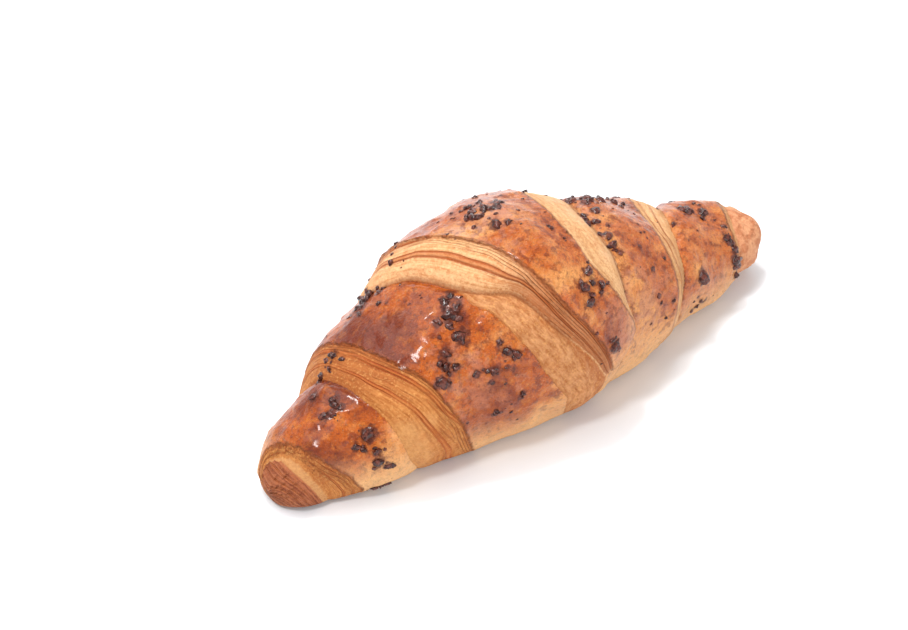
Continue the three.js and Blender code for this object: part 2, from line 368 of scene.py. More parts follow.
def along(table, t, column=1):
    """A smooth curve through a table's rows, read at t in one of its columns."""
    keys = np.array([row[0] for row in table], float)
    values = np.array([row[column] for row in table], float)
    before = np.maximum(np.arange(len(keys)) - 1, 0)
    after = np.minimum(np.arange(len(keys)) + 1, len(keys) - 1)
    slopes = (values[after] - values[before]) / (keys[after] - keys[before])
    i = np.clip(np.searchsorted(keys, t, side="right") - 1, 0, len(keys) - 2)
    span = keys[i + 1] - keys[i]
    s = np.clip((t - keys[i]) / span, 0, 1)
    return (
        values[i] * (1 + 2 * s) * (1 - s) ** 2
        + values[i + 1] * s * s * (3 - 2 * s)
        + slopes[i] * span * s * (1 - s) ** 2
        - slopes[i + 1] * span * s * s * (1 - s)
    )


def hashed(cells, seed):
    """A random value from -1 to 1 for each cell of whole numbers, the same on every run."""
    h = cells[..., 0] * 374761393 + cells[..., 1] * 668265263 + cells[..., 2] * 2147483647
    h = (h + seed * 974711) & 0xFFFFFFFF
    h = ((h ^ (h >> 13)) * 1274126177) & 0xFFFFFFFF
    h = ((h ^ (h >> 16)) * 2246822519) & 0xFFFFFFFF
    return h / 0xFFFFFFFF * 2 - 1


def noise(points, size, seed):
    """Smooth random values from -1 to 1 at points, with features of about that size."""
    p = points / size + seed * 17.31
    cell = np.floor(p).astype(np.int64)
    f = smooth(p - cell)
    total = 0
    for corner in range(8):
        step = np.array([corner & 1, corner >> 1 & 1, corner >> 2])
        weight = np.prod(np.where(step, f, 1 - f), axis=-1)
        total = total + weight * hashed(cell + step, seed)
    return total


def layered(points, layers):
    """The sum of layers of noise: [amount, size, density along x, density across it, seed]."""
    total = 0
    for amount, size, along_x, across, seed in layers:
        total = total + amount * noise(points * (along_x, across, across), size, seed)
    return total


def spread(places, x, angle):
    """The sum at x and angle of soft patches: [x, angle, reach in x, reach in angle, amount]."""
    total = np.zeros_like(x)
    for at_x, at_angle, reach_x, reach_angle, amount in places:
        off = (angle - at_angle + 180) % 360 - 180
        total = total + amount * np.exp(-(((x - at_x) / reach_x) ** 2) - (off / reach_angle) ** 2)
    return total


def taper(x):
    """From 1 at mid-length to 0 at a tip."""
    return 1 - np.minimum(1, np.abs(x) / HALF) ** sided(x, CORE_TAPER)


def core_half_width(x):
    tip = sided(x, CORE_TIP_WIDTH)
    return (tip + (CORE_WIDTH - tip) * taper(x)) / 2


def tip_rounding(x):
    """1 along the body, falling to 0 at the very tips."""
    size, blunt = sided(x, TIP_ROUND), sided(x, TIP_BLUNT)
    past = np.clip((np.abs(x) - (HALF - size)) / size, 0, 1)
    return (1 - past**blunt) ** (1 / blunt)


def ledges(rise, leaves, depth):
    """Height of a side face, 0 at its foot and 1 at its lip, where it has climbed that many leaves."""
    plain = 1 - (1 - rise / leaves) ** FACE_POWER
    nose = np.sqrt(1 - (1 - rise % 1) ** 2)
    last = np.floor(leaves) + np.sqrt(1 - (1 - leaves % 1) ** 2)
    return plain + depth * ((np.floor(rise) + nose) / last - plain)


def axis_frame(x, angle, r):
    """The point at distance r from the roll's axis, before the tray flattens it."""
    c = np.cos(np.radians(angle))
    s = np.sin(np.radians(angle))
    tip_level = sided(x, TIP_LEVEL)
    level = tip_level + (BELLY_LEVEL - tip_level) * taper(x)
    lift = np.where(s > 0, RISE * np.abs(s) ** RISE_POWER, -SAG * np.abs(s) ** SAG_POWER) * r
    y = -CRESCENT * (x / HALF) ** 2 - r * signed_power(c, SIDE_POWER)
    return np.stack(np.broadcast_arrays(x, y, level + lift), axis=-1)


def underside(x, y):
    """Height of the underside over the tray."""
    waisted = PATCH_WAIST + (PATCH_WIDTH - PATCH_WAIST) * (2 * x / PATCH_LENGTH) ** 2
    outside = np.maximum(np.abs(x) - PATCH_LENGTH / 2, np.abs(y) - waisted / 2)
    return np.clip(PATCH_SLOPE * outside, 0, PATCH_LIFT)


def rest_on(floor, z):
    """The floor below it, z above it, with a soft bend between."""
    above = z - floor
    bend = floor + np.maximum(above + BASE_ROUND, 0) ** 2 / (4 * BASE_ROUND)
    return np.where(above > BASE_ROUND, z, bend)


def turns_at(angle):
    """The turns of dough that lie over each other at these angles, from the innermost out."""
    lowest, highest = THICKNESS[0][0], THICKNESS[-1][0]
    first = math.floor((highest - angle.min()) / 360)
    last = math.ceil((lowest - angle.max()) / 360)
    return [angle + 360 * k for k in range(first, last - 1, -1)]


def place_on_turn(x, turn):
    """Where x lies across a turn of dough.

    The share of a side face climbed there, mm inside the lips, mm outside the feet, and whether
    the left side is the nearer one.
    """
    left_lip, left_foot = along(LEFT_EDGE, turn), along(LEFT_EDGE, turn, 2)
    right_lip, right_foot = along(RIGHT_EDGE, turn), along(RIGHT_EDGE, turn, 2)
    from_left = (x - left_foot) / (left_lip - left_foot)
    from_right = (right_foot - x) / (right_foot - right_lip)
    climbed = np.clip(np.minimum(from_left, from_right), 0, 1)
    inside = np.minimum(x - left_lip, right_lip - x)
    outside = np.maximum(left_foot - x, x - right_foot)
    return climbed, inside, outside, from_left < from_right


def roll(x, angle, wobble, ripple):
    """Distance of the surface from the roll's axis, and what shows there.

    What shows is a table of fields: glaze, mm inside the brushed crust and below 0 on bare dough;
    leaf, the leaves climbed from the foot of a side face; fan, 1 on the bare dough past a foot; nub,
    mm into the bare end of a tip and below 0 before it; crease, 1 in the folds; turn, back along the
    roll.
    """
    height = core_half_width(x)
    low_down = (1 - np.sin(np.radians(angle))) / 2
    into_nub = np.abs(x) - sided(x, NUB_FROM) + sided(x, NUB_SLANT) * low_down
    glaze = np.where(into_nub > -NUB_COLLAR, -NUB_COLLAR - into_nub, WELL_INSIDE)
    leaf = np.maximum(into_nub + ripple, 0) / NUB_LEAF
    nub = np.maximum(into_nub, -NUB_COLLAR)
    fan = np.zeros_like(x)
    crease = np.zeros_like(x)
    top_turn = angle + NUB_TURN
    for turn in turns_at(angle):
        thickness = along(THICKNESS, turn)
        shown = thickness > 0
        climbed, inside, outside, is_left = place_on_turn(x + wobble, turn)
        leaves = np.where(is_left, along(LEAVES, turn), along(LEAVES, turn, 2))
        depth = np.where(is_left, along(LEAVES, turn, 3), along(LEAVES, turn, 4))
        halfway_up = 4 * climbed * (1 - climbed)
        rise = climbed * leaves + ripple * halfway_up * np.minimum(1, leaves / RIPPLE_FULL_FROM)
        rise = np.clip(rise, 0, leaves)
        swell = np.where(inside > 0, LIP_SWELL * np.exp(-np.maximum(inside, 0) / LIP_LENGTH), 0)
        fold = np.clip(1 - np.abs(outside) / CREASE_WIDTH, 0, 1) ** 2
        fold = np.minimum(1, thickness / CREASE_FULL_FROM) * fold
        layer = thickness * (ledges(rise, leaves, depth) + swell) - CREASE_DEPTH * fold
        height = height + np.where(shown, layer, 0)

        covered = shown & (outside < 0)
        apron = np.where(is_left, along(BARE_APRON, turn), RIGHT_APRON)
        on_apron = (outside >= 0) & (outside < apron) & (turn > BARE_APRON[0][0])
        glaze = np.where(covered, inside, glaze)
        glaze = np.where(on_apron, np.minimum(glaze, outside - apron), glaze)
        fan = np.where(covered, 0, fan)
        fan = np.where(on_apron & is_left, np.minimum(1, apron - outside), fan)
        leaf = np.where(covered | on_apron, np.where(inside < 0, rise, 0), leaf)
        crease = np.where(covered & (outside < -CREASE_WIDTH), 0, crease)
        crease = np.maximum(crease, np.where(shown, fold, 0))
        nub = np.where(covered, -NUB_COLLAR, nub)
        top_turn = np.where(covered, turn, top_turn)
    for size, per_length, round_it, phase in LUMPS:
        height = height + size * np.sin(per_length * x + round_it * np.radians(angle) + phase)
    height = height + spread(BULGES, x, angle)
    fields = {
        "glaze": glaze,
        "leaf": leaf,
        "fan": fan,
        "nub": nub,
        "crease": crease,
        "turn": top_turn,
    }
    return height * tip_rounding(x), fields


def unevenness(x, angle):
    """How far the edges of the dough wander in x, and the leaves of a side face among themselves."""
    rough = axis_frame(x, angle, core_half_width(x))
    return layered(rough, EDGE_WOBBLE), layered(rough, LEAF_RIPPLE)


def surface(x, angle):
    """Points of the crust at x and angle, on the tray, with the fields that show there."""
    r, fields = roll(x, angle, *unevenness(x, angle))
    points = axis_frame(x, angle, r)
    floor = underside(points[..., 0], points[..., 1])
    points[..., 2] = rest_on(floor, points[..., 2])
    return points, fields


def ring_places():
    """Places of the rings along the roll, closer together where the tips round shut."""
    quarter = np.radians(90) * np.arange(1, TIP_RINGS + 1) / TIP_RINGS
    left = -HALF + TIP_ROUND["left"] * (1 - np.cos(quarter))
    right = HALF - TIP_ROUND["right"] * (1 - np.cos(quarter[::-1]))
    body = np.linspace(left[-1], right[0], BODY_RINGS + 1)[1:-1]
    return np.concatenate([left, body, right])


def spoke_angles():
    """Angles round the roll: close together over the crust, few across the flat base."""
    crust = 180 + 2 * BASE_ANGLE
    over = crust * np.arange(CRUST_SPOKES) / CRUST_SPOKES - BASE_ANGLE
    under = crust - BASE_ANGLE + (360 - crust) * np.arange(BASE_SPOKES) / BASE_SPOKES
    return np.concatenate([over, under])


def outward(points):
    """Directions straight out of a grid of points of the crust."""
    lengthwise = np.gradient(points, axis=0)
    around = np.roll(points, -1, axis=1) - np.roll(points, 1, axis=1)
    straight = np.cross(lengthwise, around)
    return straight / np.linalg.norm(straight, axis=-1, keepdims=True)


def averaged_surface(x, angle):
    """The surface at a grid of x and angle, each point the mean of a few round it.

    The mean keeps an edge that crosses the grid at a slant from turning into stairs.
    """
    dx = np.gradient(x, axis=0) / SAMPLES
    da = (180 + 2 * BASE_ANGLE) / CRUST_SPOKES / SAMPLES
    wobble, ripple = unevenness(x, angle)
    total_points, total_fields = 0, {}
    offsets = np.arange(SAMPLES) - (SAMPLES - 1) / 2
    for across in offsets:
        for round_it in offsets:
            xs = np.clip(x + across * dx, -HALF, HALF)
            r, fields = roll(xs, angle + round_it * da, wobble, ripple)
            total_points = total_points + axis_frame(xs, angle + round_it * da, r)
            for name, values in fields.items():
                total_fields[name] = total_fields.get(name, 0) + values
    count = SAMPLES**2
    points = total_points / count
    points[..., 0] = x
    floor = underside(points[..., 0], points[..., 1])
    points[..., 2] = rest_on(floor, points[..., 2])
    return points, {name: values / count for name, values in total_fields.items()}


def fine_relief(points, fields):
    """Blisters of the brushed crust, flakes of the bare dough: mm to raise each point."""
    glazed = smooth(fields["glaze"] + 0.5)
    blisters = BLISTER_HEIGHT * np.maximum(0, noise(points, BLISTER_SIZE, BLISTER_SEED)) ** 2
    brushed = blisters + layered(points, CRUST_SWELL)
    nub = NUB_LEDGE * np.sqrt(fields["leaf"] % 1) + layered(points, NUB_LUMPS)
    bare = layered(points, DOUGH_FLAKES) + fields["fan"] * layered(points, FAN_BUBBLES)
    bare = bare + np.clip(fields["nub"], 0, 1) * nub
    clear_of_tray = smooth((points[..., 2] - SMOOTH_BELOW) / RELIEF_FADE)
    return clear_of_tray * (glazed * brushed + (1 - glazed) * bare)


def make_mesh(name, points, faces, material):
    """A smooth piece with its points in mm."""
    mesh = bpy.data.meshes.new(name)
    mesh.from_pydata((points * MM).tolist(), [], faces)
    mesh.polygons.foreach_set("use_smooth", [True] * len(mesh.polygons))
    mesh.materials.append(material)
    mesh.update()
    piece = bpy.data.objects.new(name, mesh)
    bpy.context.scene.collection.objects.link(piece)
    return piece


def base_shift(points):
    """The move that puts the middle of the base where the CAD part has it."""
    low, high = (np.array(corner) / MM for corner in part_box("croissant"))
    lowest, highest = points.min(0), points.max(0)
    shift = (low + high) / 2 - (lowest + highest) / 2
    shift[2] = low[2] - lowest[2]
    return shift


def crust_faces(points):
    """Triangles between rings and spokes, each quad cut along its more level diagonal."""
    n, m = points.shape[:2]
    i, j = np.meshgrid(np.arange(n - 1), np.arange(m), indexing="ij")
    a = 1 + i * m + j
    b = 1 + i * m + (j + 1) % m
    c, d = b + m, a + m
    axis = np.array([0, BELLY_LEVEL / 2])
    out = np.linalg.norm(points[..., 1:] - axis, axis=-1)
    out_beyond = np.roll(out, -1, axis=1)
    level = np.abs(out[:-1] - out_beyond[1:]) <= np.abs(out[1:] - out_beyond[:-1])
    one = np.where(level[..., None], np.stack([a, d, c], -1), np.stack([a, d, b], -1))
    two = np.where(level[..., None], np.stack([a, c, b], -1), np.stack([d, c, b], -1))
    faces = np.concatenate([one.reshape(-1, 3), two.reshape(-1, 3)]).tolist()
    last = 1 + (n - 1) * m
    for k in range(m):
        faces.append([0, 1 + k, 1 + (k + 1) % m])
        faces.append([last + k, 1 + n * m, last + (k + 1) % m])
    return faces


def unroll(mesh, rings, spokes):
    """A map of the crust: along the roll to the right, round it upwards."""
    corners = np.empty(len(mesh.loops), int)
    mesh.loops.foreach_get("vertex_index", corners)
    corners = corners.reshape(-1, 3) - 1
    ring, spoke = corners // spokes, corners % spokes
    at_end = (corners < 0) | (corners >= rings * spokes)
    spoke = np.where(at_end, np.where(at_end, spokes, spoke).min(axis=1, keepdims=True), spoke)
    over_the_seam = np.ptp(spoke, axis=1, keepdims=True) > spokes / 2
    spoke = spoke + spokes * (over_the_seam & (spoke < spokes / 2))
    flat = np.stack([(ring + 1) / (rings + 1), spoke / spokes], axis=-1)
    mesh.uv_layers.new(name="OFBake").data.foreach_set("uv", flat.ravel())


def dough(material, crumbs):
    """The crust piece, and the move that it takes to lie where the CAD part lies."""
    x, angle = np.meshgrid(ring_places(), spoke_angles(), indexing="ij")
    points, fields = averaged_surface(x, angle)
    fields["stain_and_shade"] = stains_and_shade(points, crumbs)
    fields["baking_light_shade"] = spread(BAKING_LIGHT_AND_SHADE, x, angle)
    fields["frost_and_sheen"] = spread(FROST_AND_SHEEN, x, angle)
    points = points + outward(points) * fine_relief(points, fields)[..., None]
    ends = surface(np.array([-HALF, HALF]), np.array([0.0, 0.0]))[0]
    vertices = np.concatenate([ends[:1], points.reshape(-1, 3), ends[1:]])
    shift = base_shift(vertices)
    piece = make_mesh("crust", vertices + shift, crust_faces(points), material)
    unroll(piece.data, *points.shape[:2])
    for name, values in fields.items():
        ends_too = np.concatenate([[values[0, 0]], values.ravel(), [values[-1, 0]]])
        piece.data.attributes.new(name, "FLOAT", "POINT").data.foreach_set("value", ends_too)
    return piece, shift


# ---------------------------------------------------------------- crumbs
GOLDEN = (1 + math.sqrt(5)) / 2
ICO_CORNERS = np.array(
    [
        [-1, GOLDEN, 0],
        [-GOLDEN, 0, 1],
        [0, 1, GOLDEN],
        [1, GOLDEN, 0],
        [0, 1, -GOLDEN],
        [-GOLDEN, 0, -1],
        [GOLDEN, 0, 1],
        [0, -1, GOLDEN],
        [-1, -GOLDEN, 0],
        [0, -1, -GOLDEN],
        [GOLDEN, 0, -1],
        [1, -GOLDEN, 0],
    ]
) / math.hypot(1, GOLDEN)
CRUMB_SPLITS = 2
Crumb = namedtuple("Crumb", ["x", "angle", "size", "grown", "tilt", "turn"])


def seeded_draws(seed):
    """Draws from 0 to 1 that are the same on every run."""
    state = seed
    while True:
        state = (state * 1664525 + 1013904223) & 0xFFFFFFFF
        yield state / 2**32


def ico_faces():
    """The 20 faces of the icosahedron, each with its corners in outward order."""
    edge = 2 / math.hypot(1, GOLDEN)
    joined = np.isclose(np.linalg.norm(ICO_CORNERS[:, None] - ICO_CORNERS, axis=-1), edge)
    faces = []
    for a, b, c in combinations(range(12), 3):
        if joined[a, b] and joined[b, c] and joined[a, c]:
            turned_out = np.linalg.det(ICO_CORNERS[[a, b, c]]) > 0
            faces.append((a, b, c) if turned_out else (a, c, b))
    return faces


def split_icosahedron():
    """Shares of the 12 corners at each vertex of a finer icosahedron, and its faces."""
    shares = list(np.eye(12))
    faces = ico_faces()
    for _ in range(CRUMB_SPLITS):
        middles, finer = {}, []
        for face in faces:
            mids = []
            for p, q in zip(face, face[1:] + face[:1]):
                key = (min(p, q), max(p, q))
                if key not in middles:
                    middles[key] = len(shares)
                    shares.append((shares[p] + shares[q]) / 2)
                mids.append(middles[key])
            a, b, c = face
            ab, bc, ca = mids
            finer += [(a, ab, ca), (ab, b, bc), (ca, bc, c), (ab, bc, ca)]
        faces = finer
    return np.array(shares), faces


def near(middle, reach, draw):
    """A place up to that reach away, most often close to the middle."""
    return middle + reach * (next(draw) + next(draw) - 1)


def grown_corners(draw):
    span = CORNER_MOST - CORNER_LEAST
    return np.array([CORNER_LEAST + span * next(draw) for _ in range(12)])


def crumb_list():
    """Every crumb, then every speck, with how far its 12 corners have grown and its two turns."""
    draw = seeded_draws(CRUMB_SEED)
    small_draw = seeded_draws(SMALL_CRUMB_SEED)
    crumbs = []
    for x, angle, along_x, along_angle, count, least, most in CRUMB_CLUSTERS:
        for _ in range(count):
            at_x = near(x, along_x, draw)
            at_angle = near(angle, along_angle, draw)
            size = least + (most - least) * next(draw) ** 2
            shape_draw = draw if size >= CRUMB_FUSED_FROM else small_draw
            grown = grown_corners(shape_draw)
            tilt, turn = next(shape_draw) * math.pi, next(shape_draw) * math.pi
            crumbs.append(Crumb(at_x, at_angle, size, grown, tilt, turn))
    least, most = SPECK_SIZES
    for x, angle, along_x, along_angle, count, _, _ in CRUMB_CLUSTERS:
        for _ in range(count):
            at_x = near(x, SPECK_SPREAD * along_x, small_draw)
            at_angle = near(angle, SPECK_SPREAD * along_angle, small_draw)
            size = least + (most - least) * next(small_draw)
            grown = grown_corners(small_draw)
            crumbs.append(Crumb(at_x, at_angle, size, grown, next(small_draw) * math.pi, 0.0))
    return crumbs


def crumb_centres(crumbs):
    """Where the crumbs sit in the crust."""
    x = np.array([crumb.x for crumb in crumbs])
    angle = np.array([crumb.angle for crumb in crumbs])
    size = np.array([crumb.size for crumb in crumbs])
    place = surface(x, angle)[0]
    lengthwise = surface(x + 1, angle)[0] - place
    around = surface(x, angle + 2)[0] - place
    out = np.cross(lengthwise, around)
    out /= np.linalg.norm(out, axis=-1, keepdims=True)
    return place - CRUMB_SUNK * size[:, None] * out


def stains_and_shade(points, crumbs):
    """How much cocoa has soaked into the crust round the crumbs, with painted shade there, 0 to 1."""
    stain_and_shade = np.zeros(points.shape[:2])
    for centre, crumb in zip(crumb_centres(crumbs), crumbs):
        distance = np.linalg.norm(points - centre, axis=-1)
        stain_and_shade = np.maximum(stain_and_shade, np.clip(STAIN_AND_SHADE_REACH - distance / crumb.size, 0, 1))
    return stain_and_shade


def turned(points, tilt, turn):
    """Points turned by tilt about X, then by turn about Z."""
    ct, st = math.cos(tilt), math.sin(tilt)
    cz, sz = math.cos(turn), math.sin(turn)
    points = points @ np.array([[1, 0, 0], [0, ct, -st], [0, st, ct]]).T
    return points @ np.array([[cz, -sz, 0], [sz, cz, 0], [0, 0, 1]]).T


def crumb_points(crumb, centre, shares, sphere):
    """A lumpy ball, chipped flat at each of its 12 corners, with its middle at the centre."""
    facing = np.maximum(sphere @ ICO_CORNERS.T, CORNER_BEHIND)
    chipped = (CRUMB_CHIP_DEPTH * crumb.grown / facing).min(axis=-1)
    rounded = shares @ crumb.grown
    lumps = 1 + layered(sphere + centre, CRUMB_LUMPS)
    reach = (CRUMB_CHIPPED * chipped + (1 - CRUMB_CHIPPED) * rounded) * lumps
    points = sphere * (crumb.size / 2 * reach)[:, None] * CRUMB_STRETCH
    return turned(points, crumb.tilt, crumb.turn) + centre


def crumb_piece(material, crumbs, shift):
    shares, faces = split_icosahedron()
    sphere = shares @ ICO_CORNERS
    sphere /= np.linalg.norm(sphere, axis=-1, keepdims=True)
    all_points, all_faces = [], []
    for centre, crumb in zip(crumb_centres(crumbs), crumbs):
        start = len(all_points) * len(shares)
        all_points.append(crumb_points(crumb, centre, shares, sphere))
        all_faces += [tuple(start + k for k in face) for face in faces]
    return make_mesh("crumbs", np.concatenate(all_points) + shift, all_faces, material)


# ---------------------------------------------------------------- paints
def tint(red, green, blue):
    """A colour as screens state it, 0 to 255, as the linear one that shaders use."""
    return tuple((v / 255) ** 2.2 for v in (red, green, blue)) + (1,)


# Colours of the left and of the right half of the roll.
AMBER = tint(186, 88, 22), tint(190, 98, 44)
CLEAR_AMBER = tint(212, 122, 44), tint(220, 140, 76)
PALEST_DOUGH = tint(216, 160, 102), tint(230, 188, 148)

# A dark and a light colour each.
INNER_STRIPES = tint(160, 90, 40), tint(194, 126, 68)
OUTER_STRIPES = tint(204, 140, 90), tint(230, 176, 126)
RIGHT_STRIPES = tint(202, 146, 96), tint(218, 170, 122)
# Well browned dough, which at the top of the side faces on the left half is partly painted shade.
BROWNED_AND_SHADED_STRIPES = tint(104, 42, 16), tint(188, 106, 50)
LEFT_NUB = tint(118, 58, 38), tint(168, 98, 66)
RIGHT_NUB = tint(172, 100, 66), tint(210, 150, 112)
BUBBLY_FAN = tint(158, 94, 50), tint(204, 144, 96)
CALM_FAN = tint(200, 134, 80), tint(220, 160, 106)
CRUMB = tint(50, 20, 14), tint(104, 52, 40)

# Grain of the inner turns and of the last one, lines near the tongue and farther back.
LIGHT_DOUGH_GRAIN = tint(220, 158, 94), tint(238, 196, 144)
LINES = tint(118, 50, 22), tint(158, 66, 26)

# The brushed crust.
GOLDEN_CRUST = tint(228, 154, 88)
DARK_CRUST = tint(118, 46, 12)
# Paler low down: less browned, and painted light bounced up from the floor.
LOW_CRUST_AND_BOUNCE_LIGHT = tint(250, 196, 138)
# Frosty glaze, its pink partly a painted sheen.
FROSTED_CRUST_AND_SHEEN = tint(188, 118, 90)
CRUST_SPOTS = tint(116, 42, 16)
FRECKLES = tint(98, 38, 22)
BLOTS = tint(104, 42, 26)
DARK_CRUST_GRAIN = tint(122, 52, 24)
LIGHT_CRUST_GRAIN = tint(232, 164, 104)

# The bare dough, and the browned and cocoa-marked places of both, some darkened by painted shade.
TONGUE_SIDE = tint(158, 80, 38)
DOUGH_SPOTS = tint(190, 114, 62)
DARK_DOUGH_GRAIN = tint(176, 102, 54)
LEFT_COLLAR = tint(194, 138, 88)
FAN_PATCHES = tint(180, 104, 52)
# Browner dough with painted shade where the fan meets the foot above it.
FAN_FOOT_BROWN_AND_SHADE = tint(160, 84, 40)
BROWNED_EDGE = tint(192, 100, 46)
NUB_LINES = tint(108, 48, 28)
GLAZE_RIM = tint(156, 72, 28)
# Browned dough with painted shade in the folds.
CREASE_BROWN_AND_SHADE = tint(126, 58, 24)
# Cocoa in the crust round the crumbs, darker still as painted shade.
COCOA_STAIN_AND_SHADE = tint(82, 36, 24)

# Roughness of the bare dough, how much smoother the glaze is and how much rougher frost is, and the
# glaze's clear coat.
BARE_ROUGHNESS = 0.6
GLAZE_SMOOTHER = 0.3
FROST_ROUGHER = 0.12
GLAZE_COAT = 0.4
# Depth of the relief that is too fine for the mesh.
CRUST_RELIEF = 0.5
CRUMB_RELIEF = 0.15


class Paint:
    """A node material, put together by short calls. Lengths are millimetres."""

    def __init__(self, name):
        self.material = bpy.data.materials.new(name)
        self.material.use_nodes = True
        self.tree = self.material.node_tree
        self.shader = self.tree.nodes["Principled BSDF"]
        self.place = self.tree.nodes.new("ShaderNodeTexCoord").outputs["Object"]

    def put(self, value, socket):
        """Links a node's output to the socket, or sets the socket to a plain value."""
        if isinstance(value, bpy.types.NodeSocket):
            self.tree.links.new(value, socket)
        else:
            socket.default_value = value

    def calc(self, operation, a, b=0.0):
        """The result of a math operation, with b left out where it takes one value."""
        node = self.tree.nodes.new("ShaderNodeMath")
        node.operation = operation
        self.put(a, node.inputs[0])
        self.put(b, node.inputs[1])
        return node.outputs[0]

    def chain(self, operation, value, *others):
        """The values joined by a math operation, one after another."""
        for other in others:
            value = self.calc(operation, value, other)
        return value

    def plus(self, *values):
        return self.chain("ADD", *values)

    def minus(self, *values):
        return self.chain("SUBTRACT", *values)

    def times(self, *values):
        return self.chain("MULTIPLY", *values)

    def largest(self, *values):
        return self.chain("MAXIMUM", *values)

    def field(self, name):
        """A field stored at the points of the mesh."""
        node = self.tree.nodes.new("ShaderNodeAttribute")
        node.attribute_name = name
        return node.outputs["Fac"]

    def clouds(self, where, scale, detail, roughness):
        """Soft noise from 0 to 1 at the place where."""
        node = self.tree.nodes.new("ShaderNodeTexNoise")
        node.inputs["Scale"].default_value = scale
        node.inputs["Detail"].default_value = detail
        node.inputs["Roughness"].default_value = roughness
        self.put(where, node.inputs["Vector"])
        return node.outputs["Fac"]

    def noise(self, size, detail=2.0, roughness=0.5):
        """Soft noise from 0 to 1 with features of about that size."""
        return self.clouds(self.place, 1 / (size * MM), detail, roughness)

    def swing(self, noise, amount):
        """Noise moved to lie round 0, and stretched to that amount from its least to its most."""
        return self.times(self.minus(noise, 0.5), amount)

    def ramp(self, value, start, end, low=0.0, high=1.0):
        """From low to high while value goes from start to end, with soft ends."""
        node = self.tree.nodes.new("ShaderNodeMapRange")
        node.interpolation_type = "SMOOTHSTEP"
        self.put(value, node.inputs["Value"])
        for socket, number in (("From Min", start), ("From Max", end), ("To Min", low), ("To Max", high)):
            node.inputs[socket].default_value = number
        return node.outputs["Result"]

    def mix(self, share, a, b):
        """Colour a where the share is 0, colour b where it is 1."""
        node = self.tree.nodes.new("ShaderNodeMix")
        node.data_type = "RGBA"
        self.put(share, node.inputs[0])
        self.put(a, node.inputs[6])
        self.put(b, node.inputs[7])
        return node.outputs[2]

    def layers(self, colour, *layers):
        """The colour with layers over it, each a share and the colour that it brings."""
        for share, layer in layers:
            colour = self.mix(share, colour, layer)
        return colour

    def bump(self, height, depth):
        """Relief of that depth, too fine for the mesh."""
        node = self.tree.nodes.new("ShaderNodeBump")
        node.inputs["Distance"].default_value = depth * MM
        self.put(height, node.inputs["Height"])
        self.tree.links.new(node.outputs["Normal"], self.shader.inputs["Normal"])

    def set(self, **sockets):
        """Sets the shader's sockets by name, with spaces written as underscores."""
        for name, value in sockets.items():
            self.put(value, self.shader.inputs[name.replace("_", " ")])
        return self.material


